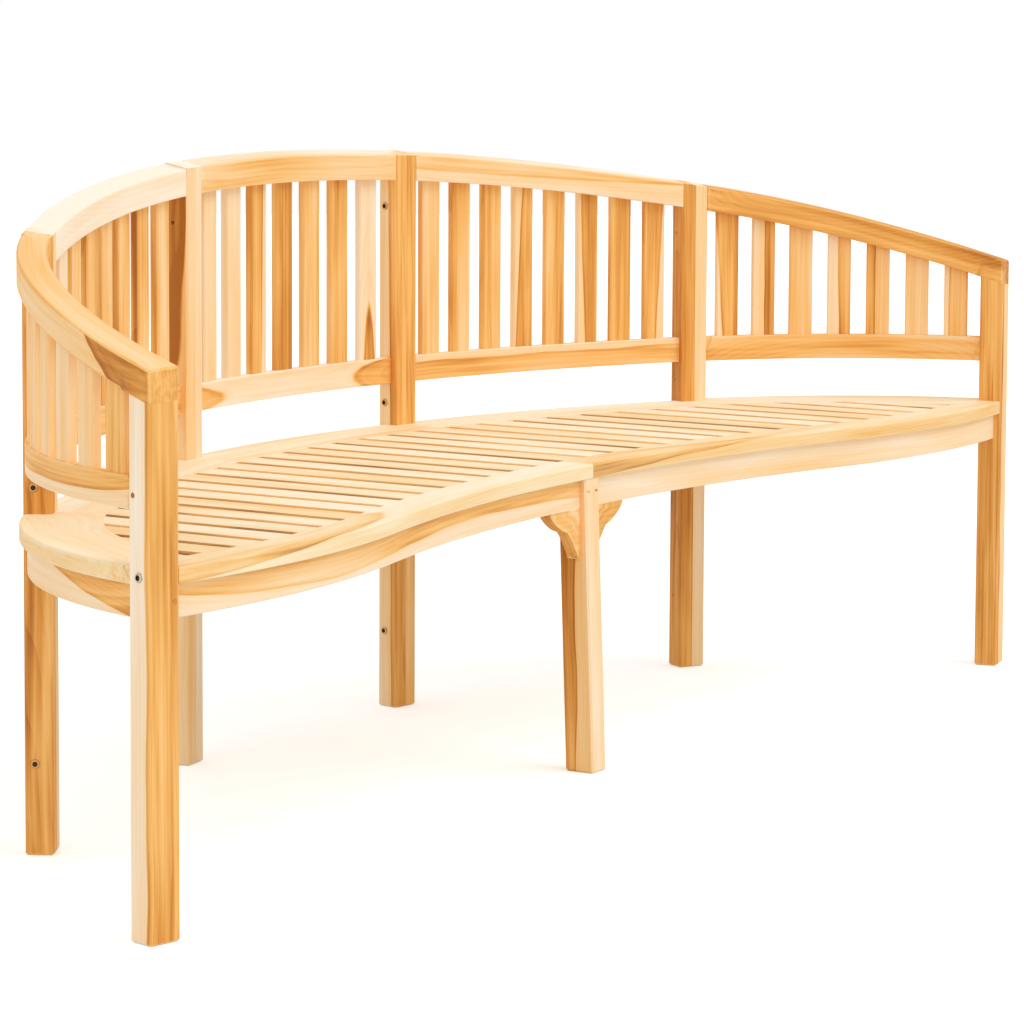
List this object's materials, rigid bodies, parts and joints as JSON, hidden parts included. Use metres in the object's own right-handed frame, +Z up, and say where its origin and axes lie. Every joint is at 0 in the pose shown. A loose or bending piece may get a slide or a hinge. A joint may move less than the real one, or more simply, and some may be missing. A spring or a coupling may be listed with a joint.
{
  "type": "curved garden bench",
  "caption": "Curved slatted garden bench: a bean-shaped slatted seat, a slatted back that sweeps round into lower arms, square posts and a middle front leg.",
  "frame": {"origin": "middle of the bench's footprint, on the ground", "axes": "+X to the sitter's left-hand end as seen from the front (the right in a front view), +Y to the back, +Z up"},
  "size_m": [2.3074, 0.68, 0.8683],
  "materials": {
    "teak_post": "sanded bare hardwood, straight grain",
    "teak_rail": "sanded bare hardwood, grain along the rail",
    "teak_slat": "sanded bare hardwood, mixed heartwood and sapwood",
    "teak_seat": "sanded bare hardwood, pale where light falls on it",
    "teak_frame": "sanded bare hardwood",
    "teak_peg": "end grain, sanded flush",
    "steel": "plain steel fasteners"
  },
  "bodies": {
    "root": {"arm_rail_left": "teak_rail", "arm_rail_right": "teak_rail", "arm_slats_left": "teak_slat", "arm_slats_right": "teak_slat", "back_apron_middle": "teak_frame", "back_apron_side_left": "teak_frame", "back_apron_side_right": "teak_frame", "back_post_middle_half_left": "teak_post", "back_post_middle_half_right": "teak_post", "back_post_side_half_left": "teak_post", "back_post_side_half_right": "teak_post", "back_slats_middle": "teak_slat", "back_slats_side_left": "teak_slat", "back_slats_side_right": "teak_slat", "corner_post_arm_half_left": "teak_post", "corner_post_arm_half_right": "teak_post", "corner_post_back_half_left": "teak_post", "corner_post_back_half_right": "teak_post", "end_apron_left": "teak_frame", "end_apron_right": "teak_frame", "front_apron_left": "teak_frame", "front_apron_right": "teak_frame", "front_post_left": "teak_post", "front_post_right": "teak_post", "leg_bracket_left": "teak_frame", "leg_bracket_right": "teak_frame", "lower_rail_arm_left": "teak_rail", "lower_rail_arm_right": "teak_rail", "lower_rail_middle": "teak_rail", "lower_rail_side_left": "teak_rail", "lower_rail_side_right": "teak_rail", "middle_leg": "teak_post", "post_screws": "steel", "seat_back_rail_left": "teak_seat", "seat_back_rail_middle": "teak_seat", "seat_back_rail_right": "teak_seat", "seat_batten_left": "teak_frame", "seat_batten_right": "teak_frame", "seat_bearer_left": "teak_frame", "seat_bearer_middle": "teak_frame", "seat_bearer_right": "teak_frame", "seat_end_rail_left": "teak_seat", "seat_end_rail_right": "teak_seat", "seat_front_rail_left": "teak_seat", "seat_front_rail_right": "teak_seat", "seat_rail_screws": "steel", "seat_slats_left": "teak_seat", "seat_slats_right": "teak_seat", "tenon_pegs": "teak_peg", "top_rail_middle": "teak_rail", "top_rail_side_left": "teak_rail", "top_rail_side_right": "teak_rail"}
  },
  "joints": []
}
